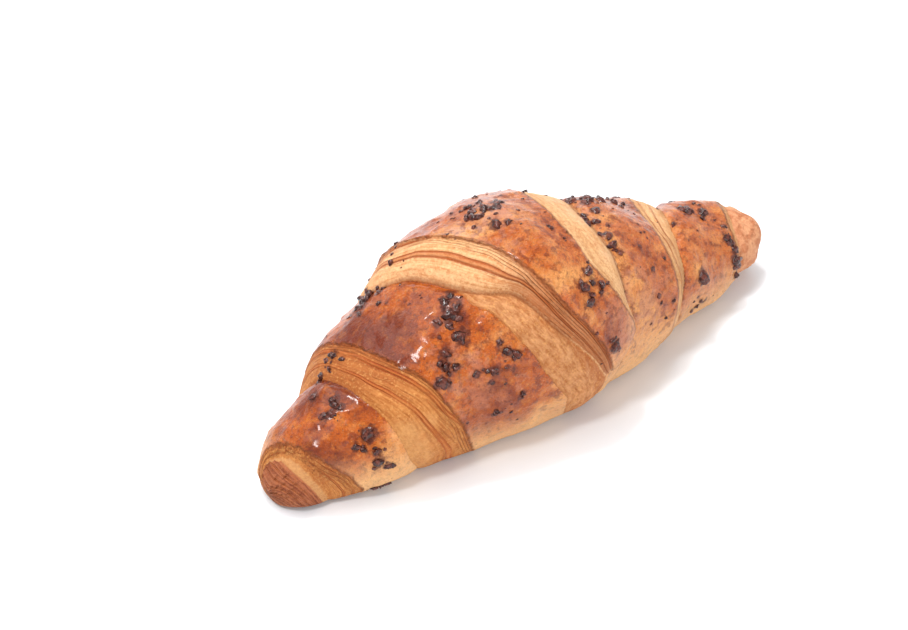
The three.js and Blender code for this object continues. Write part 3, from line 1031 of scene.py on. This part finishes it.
class CrustPaint(Paint):
    """The crust's paint. The fields at the points of its mesh say what shows where.

    The baking value goes below 0 where the crust is pale and where light is painted on, and above 0
    where it is dark and where shade is painted on. glazed is 1 on the brushed crust and 0 on bare
    dough, with a ragged edge between them.
    """

    def __init__(self):
        super().__init__("crust")
        self.glaze, self.leaf = self.field("glaze"), self.field("leaf")
        self.fan, self.nub = self.field("fan"), self.field("nub")
        self.turn = self.field("turn")
        xyz = self.tree.nodes.new("ShaderNodeSeparateXYZ")
        self.put(self.place, xyz.inputs[0])
        self.x = self.times(xyz.outputs["X"], 1 / MM)
        self.height = self.times(xyz.outputs["Z"], 1 / MM)
        self.patches = self.noise(9, 5, roughness=0.6)
        self.spots = self.noise(2.6, 4, roughness=0.6)
        self.bake_light_shade = self.plus(self.field("baking_light_shade"), self.swing(self.patches, 4.5))
        self.glazed = self.ramp(self.plus(self.glaze, self.swing(self.noise(1.8), 2.0)), -0.5, 0.7)
        cloudy = self.swing(self.noise(4, 5, roughness=0.7), 5.0)
        self.frost_and_sheen = self.ramp(self.plus(self.field("frost_and_sheen"), cloudy), 0.2, 1.0)
        self.right_half = self.ramp(self.x, -5, 5)
        self.last_turn = self.ramp(self.turn, 330, 250)
        beside_tongue = self.times(self.ramp(self.turn, 90, 50, 0, 0.75), self.ramp(self.glaze, -7.5, -4))
        self.tongue_side = self.times(beside_tongue, self.ramp(self.x, 9.5, 8))

    def streaks(self, across, often, along_turn, detail, start=0.0, roughness=0.5):
        """Noise drawn out along the turns: that often across them, and per degree along them."""
        where = self.tree.nodes.new("ShaderNodeCombineXYZ")
        self.put(self.times(across, often), where.inputs["X"])
        self.put(self.times(self.turn, along_turn), where.inputs["Y"])
        self.put(start, where.inputs["Z"])
        return self.clouds(where.outputs[0], 1.0, detail, roughness)

    def brushed_crust(self):
        """Amber to red-brown, freckled, frosty pink with painted sheen, more golden low down, partly
        painted light.
        """
        bake_light_shade, height = self.bake_light_shade, self.height
        clear = self.times(self.ramp(self.spots, 0.48, 0.32, 0, 0.6), self.ramp(bake_light_shade, 1.4, 0.2, 0.4, 1))
        # Frosty patches: duller glaze with a painted pinkish sheen.
        frosted_and_sheen = self.times(self.frost_and_sheen, self.ramp(bake_light_shade, 0.4, 1.6, 0.55, 0.1))
        freckles = self.ramp(self.noise(1.4, 3, roughness=0.7), 0.54, 0.66, 0, 0.65)
        freckles = self.times(freckles, self.ramp(bake_light_shade, -0.9, 0.1, 0.35, 1))
        freckles = self.times(freckles, self.ramp(height, 3, 16, 0.2, 1))
        blots = self.times(self.ramp(self.noise(1.9, 3), 0.57, 0.7, 0, 0.5), self.ramp(height, 14, 30))
        grain = self.noise(0.7, 3, roughness=0.75)
        lit = self.times(self.ramp(grain, 0.56, 0.7, 0, 0.4), self.ramp(bake_light_shade, 1.0, 0.2))
        return self.layers(
            GOLDEN_CRUST,
            (self.ramp(bake_light_shade, -1.1, 0.1), self.mix(self.right_half, *AMBER)),
            (self.ramp(bake_light_shade, 0, 1.7), DARK_CRUST),
            (self.ramp(self.spots, 0.51, 0.64, 0, 0.65), CRUST_SPOTS),
            (clear, self.mix(self.right_half, *CLEAR_AMBER)),
            (frosted_and_sheen, FROSTED_CRUST_AND_SHEEN),
            # Paler low down: less browned, and painted light bounced up from the floor.
            (self.ramp(height, 18, 3, 0, 0.8), LOW_CRUST_AND_BOUNCE_LIGHT),
            (freckles, FRECKLES),
            (blots, BLOTS),
            (self.ramp(grain, 0.46, 0.32, 0, 0.45), DARK_CRUST_GRAIN),
            (lit, LIGHT_CRUST_GRAIN),
        )

    def side_faces(self):
        """Finely striped golden dough, paler on the last turn and at the right."""
        stripes = self.streaks(self.leaf, 9.0, 0.05, 4)
        share = self.ramp(stripes, 0.3, 0.62)
        # Dark browned stripes where the baking value is high, at the top of the left side faces partly
        # painted shade.
        browned_and_shaded = self.times(self.ramp(self.bake_light_shade, 0.1, 1.5, 0, 0.7), self.ramp(self.turn, 300, 340))
        return self.layers(
            self.mix(share, *INNER_STRIPES),
            (self.last_turn, self.mix(share, *OUTER_STRIPES)),
            (self.right_half, self.mix(share, *RIGHT_STRIPES)),
            # Palest where the baking value is below 0, which in places is painted light.
            (self.ramp(self.bake_light_shade, -0.3, -1.4, 0, 0.5), self.mix(self.right_half, *PALEST_DOUGH)),
            (self.tongue_side, TONGUE_SIDE),
            (self.ramp(self.spots, 0.5, 0.68, 0, 0.4), DOUGH_SPOTS),
            (browned_and_shaded, self.mix(stripes, *BROWNED_AND_SHADED_STRIPES)),
        )

    def fan_of_dough(self):
        """The bubbly dough past the foot of the last turn, calm at the tongue, browner at its end, under
        the foot, where shade is painted too.
        """
        fibres = self.streaks(self.glaze, 0.9, 0.13, 4, start=3.0, roughness=0.7)
        share = self.ramp(fibres, 0.3, 0.66)
        return self.layers(
            self.mix(share, *CALM_FAN),
            (self.ramp(self.turn, -2, 26), self.mix(share, *BUBBLY_FAN)),
            (self.ramp(self.patches, 0.52, 0.66, 0, 0.4), FAN_PATCHES),
            # Browner, with painted shade, where the fan meets the foot above it.
            (self.ramp(self.glaze, -8, -12.5, 0, 0.6), FAN_FOOT_BROWN_AND_SHADE),
        )

    def bare_dough(self):
        """The side faces, the bare ends of the tips, ringed at the left, and the fan, all grainy."""
        rings = self.streaks(self.leaf, 2.2, 0.012, 2, start=9.0)
        left_nub = self.mix(self.ramp(rings, 0.36, 0.58), *LEFT_NUB)
        right_nub = self.mix(self.ramp(self.spots, 0.42, 0.6, 1, 0.3), *RIGHT_NUB)
        grain = self.noise(0.8, 3, roughness=0.75)
        lit = self.times(self.ramp(grain, 0.48, 0.34, 0, 0.5), self.minus(1.0, self.tongue_side))
        lit = self.times(lit, self.ramp(self.nub, 0, -1, 0.3, 1))
        return self.layers(
            self.side_faces(),
            (self.ramp(self.nub, -2.0, -1.2), self.mix(self.right_half, LEFT_COLLAR, right_nub)),
            (self.ramp(self.nub, -0.1, 0.3), self.mix(self.right_half, left_nub, right_nub)),
            (self.fan, self.fan_of_dough()),
            (self.ramp(grain, 0.5, 0.66, 0, 0.4), DARK_DOUGH_GRAIN),
            (lit, self.mix(self.last_turn, *LIGHT_DOUGH_GRAIN)),
        )

    @cached_property
    def on_leaf(self):
        """1 on the leaves of a side face, 0 on the fan and on the smooth right tip."""
        smooth_tip = self.times(self.plus(self.nub, 2.0), self.right_half)
        on_face = self.times(self.ramp(self.leaf, 0.6, 1.0), self.minus(1.0, self.fan))
        return self.times(on_face, self.ramp(smooth_tip, 0.5, 0))

    @cached_property
    def edge_strength(self):
        """How strongly the edges of the leaves show, most on the last turn."""
        come_and_go = self.streaks(self.calc("FLOOR", self.leaf), 1.0, 0.02, 1, start=5.0)
        strength = self.ramp(come_and_go, 0.38, 0.62, 0.3, 0.9)
        return self.times(self.largest(strength, self.ramp(self.turn, 170, 120, 0, 0.8)), self.on_leaf)

    def leaf_lines_and_step_shade(self):
        """Dark lines where one leaf meets the next, with painted shade in each step's corner, and a
        second one a little above each.
        """
        climbed = self.calc("FRACT", self.leaf)
        second = self.ramp(self.calc("ABSOLUTE", self.minus(climbed, 0.17)), 0.05, 0.01)
        lines = self.largest(self.ramp(climbed, 0.07, 0.01), self.ramp(climbed, 0.96, 1.0), second)
        return self.times(lines, self.edge_strength)

    def lip_lines(self):
        """Fine lines that run along below a lip, in stretches."""
        glaze, turn = self.glaze, self.turn
        wander = self.streaks(self.leaf, 0.5, 0.03, 2, start=2.0)
        below_lip = self.minus(self.times(wander, 1.6), self.plus(glaze, 0.8))
        lines = self.ramp(self.calc("PINGPONG", self.times(below_lip, 1.25), 0.5), 0.13, 0.0)
        near_lip = self.plus(self.ramp(glaze, -3.2, -2.6), self.ramp(turn, 62, 36, 0, 0.8))
        some = self.streaks(self.calc("FLOOR", below_lip), 1.0, 0.025, 1, start=7.0)
        return self.times(
            lines,
            self.ramp(glaze, -0.4, -0.7),
            self.calc("MINIMUM", near_lip, 1.0),
            self.ramp(some, 0.36, 0.56, 0.15, 0.9),
            self.minus(1.0, self.fan),
            self.ramp(self.nub, -2.5, -3.0),
            self.ramp(self.right_half, 1, 0, 0.35, 1),
        )

    def hair_lines(self):
        """Hair lines between the edges of the leaves."""
        flow = self.streaks(self.leaf, 2.6, 0.011, 2, roughness=0.4)
        hair = self.ramp(self.calc("PINGPONG", self.times(flow, 6.0), 0.5), 0.09, 0.0, 0, 0.5)
        return self.times(hair, self.ramp(self.noise(6), 0.42, 0.6), self.on_leaf)

    def lines(self):
        """All the lines of the bare dough, 0 to 1."""
        line = self.largest(self.leaf_lines_and_step_shade(), self.lip_lines(), self.hair_lines())
        return self.times(line, self.minus(1.0, self.glazed))

    def lined_dough(self, line):
        """The bare dough with the browned edges of its leaves and its lines."""
        above_edge = self.ramp(self.calc("FRACT", self.leaf), 0.3, 0.16)
        line_colour = self.mix(self.ramp(self.turn, 60, 84), *LINES)
        line_colour = self.mix(self.ramp(self.nub, 0, 1), line_colour, NUB_LINES)
        return self.layers(
            self.bare_dough(),
            (self.times(self.edge_strength, above_edge, 0.7), BROWNED_EDGE),
            (self.times(line, 0.8), line_colour),
        )

    def colour(self, line):
        """The whole crust, with the rim of the glaze, the folds browned and with painted shade, and the
        cocoa soaked into it with painted shade round the crumbs.
        """
        cocoa_and_shade = self.plus(self.field("stain_and_shade"), self.swing(self.spots, 1.4))
        return self.layers(
            self.lined_dough(line),
            (self.glazed, self.brushed_crust()),
            (self.ramp(self.calc("ABSOLUTE", self.glaze), 1.0, 0.0, 0, 0.5), GLAZE_RIM),
            # The folds: browned, with painted shade.
            (self.ramp(self.field("crease"), 0.65, 1, 0, 0.7), CREASE_BROWN_AND_SHADE),
            # Cocoa round the crumbs, with painted shade there.
            (self.ramp(cocoa_and_shade, 0.75, 1.05, 0, 0.75), COCOA_STAIN_AND_SHADE),
        )

    def relief(self, line):
        """Pits all over, deeper on the glaze, its blisters, and the lines pressed in."""
        pits = self.times(self.noise(1.0, 4, roughness=0.65), self.ramp(self.glazed, 0, 1, 1, 2.2))
        blisters = self.times(self.noise(2.6, 4), self.times(self.glazed, 2.8))
        return self.plus(pits, blisters, self.times(line, -0.8))


def crust_paint():
    p = CrustPaint()
    line = p.lines()
    p.bump(p.relief(line), CRUST_RELIEF)
    shine = p.times(p.glazed, p.ramp(p.height, 2, 14))
    roughness = p.minus(BARE_ROUGHNESS, p.times(shine, GLAZE_SMOOTHER))
    return p.set(
        Base_Color=p.colour(line),
        Roughness=p.plus(roughness, p.times(p.frost_and_sheen, FROST_ROUGHER)),
        Specular_IOR_Level=0.2,
        Coat_Weight=p.times(shine, GLAZE_COAT),
        Coat_Roughness=0.13,
    )


def crumb_paint():
    p = Paint("crumbs")
    patches = p.noise(1.2, 4, roughness=0.65)
    p.bump(p.noise(0.5, 3), CRUMB_RELIEF)
    return p.set(
        Base_Color=p.mix(p.ramp(patches, 0.4, 0.65), *CRUMB),
        Roughness=p.ramp(patches, 0.3, 0.7, 0.12, 0.34),
        Specular_IOR_Level=0.25,
        Coat_Weight=0.35,
        Coat_Roughness=0.06,
    )


# ---------------------------------------------------------------- stage
CAMERA_TURN = 36.6
CAMERA_RISE = 42
CAMERA_DISTANCE = 600
CAMERA_AIM = (-17.1, 2.1, 25)
CAMERA_LENS = 92
CAMERA_SENSOR = 36

# The floor and the lights are in metres and watts. Lights: [name, place, size, power]. Each one
# faces the middle of the base.
FLOOR_REACH = 4
FLOOR_COLOUR = (0.85, 0.88, 0.91, 1)
WORLD_COLOUR = (1, 1, 1, 1)
WORLD_STRENGTH = 0.66
LIGHTS = [
    ["key", (-0.22, 0.42, 1.1), 1.0, 8],
    ["left window", (-0.6, -0.05, 1), 0.16, 4.2],
    ["top window", (0.05, 0.32, 1.1), 0.13, 3.8],
    ["back window", (0.5, 0.9, 0.45), 0.5, 2.5],
    ["fill", (0.25, -1, 0.4), 0.9, 5],
]


def add_camera():
    turn, rise = math.radians(CAMERA_TURN), math.radians(CAMERA_RISE)
    look = Vector((math.sin(turn) * math.cos(rise), math.cos(turn) * math.cos(rise), -math.sin(rise)))
    data = bpy.data.cameras.new("camera")
    data.lens = CAMERA_LENS
    data.sensor_width = CAMERA_SENSOR
    camera = bpy.data.objects.new("camera", data)
    camera.location = (Vector(CAMERA_AIM) - look * CAMERA_DISTANCE) * MM
    camera.rotation_euler = look.to_track_quat("-Z", "Y").to_euler()
    bpy.context.scene.collection.objects.link(camera)
    bpy.context.scene.camera = camera


def add_light(name, place, size, power):
    data = bpy.data.lights.new(name, "AREA")
    data.size = size
    data.energy = power
    light = bpy.data.objects.new(name, data)
    light.location = place
    light.rotation_euler = (-Vector(place)).to_track_quat("-Z", "Y").to_euler()
    bpy.context.scene.collection.objects.link(light)


def add_floor():
    r = FLOOR_REACH
    mesh = bpy.data.meshes.new("floor")
    mesh.from_pydata([(-r, -r, 0), (r, -r, 0), (r, r, 0), (-r, r, 0)], [], [(0, 1, 2, 3)])
    paint = bpy.data.materials.new("floor")
    paint.use_nodes = True
    paint.node_tree.nodes["Principled BSDF"].inputs["Base Color"].default_value = FLOOR_COLOUR
    mesh.materials.append(paint)
    floor = bpy.data.objects.new("floor", mesh)
    bpy.context.scene.collection.objects.link(floor)


def add_stage():
    add_floor()
    world = bpy.data.worlds.new("world")
    world.use_nodes = True
    world.node_tree.nodes["Background"].inputs["Color"].default_value = WORLD_COLOUR
    world.node_tree.nodes["Background"].inputs["Strength"].default_value = WORLD_STRENGTH
    bpy.context.scene.world = world
    bpy.context.scene.view_settings.view_transform = "Standard"
    for light in LIGHTS:
        add_light(*light)


add_camera()
crumbs = crumb_list()
crust, shift = dough(crust_paint(), crumbs)
toppings = crumb_piece(crumb_paint(), crumbs, shift)
for piece in (crust, toppings):
    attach(piece, "root")
    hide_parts("croissant")
add_stage()
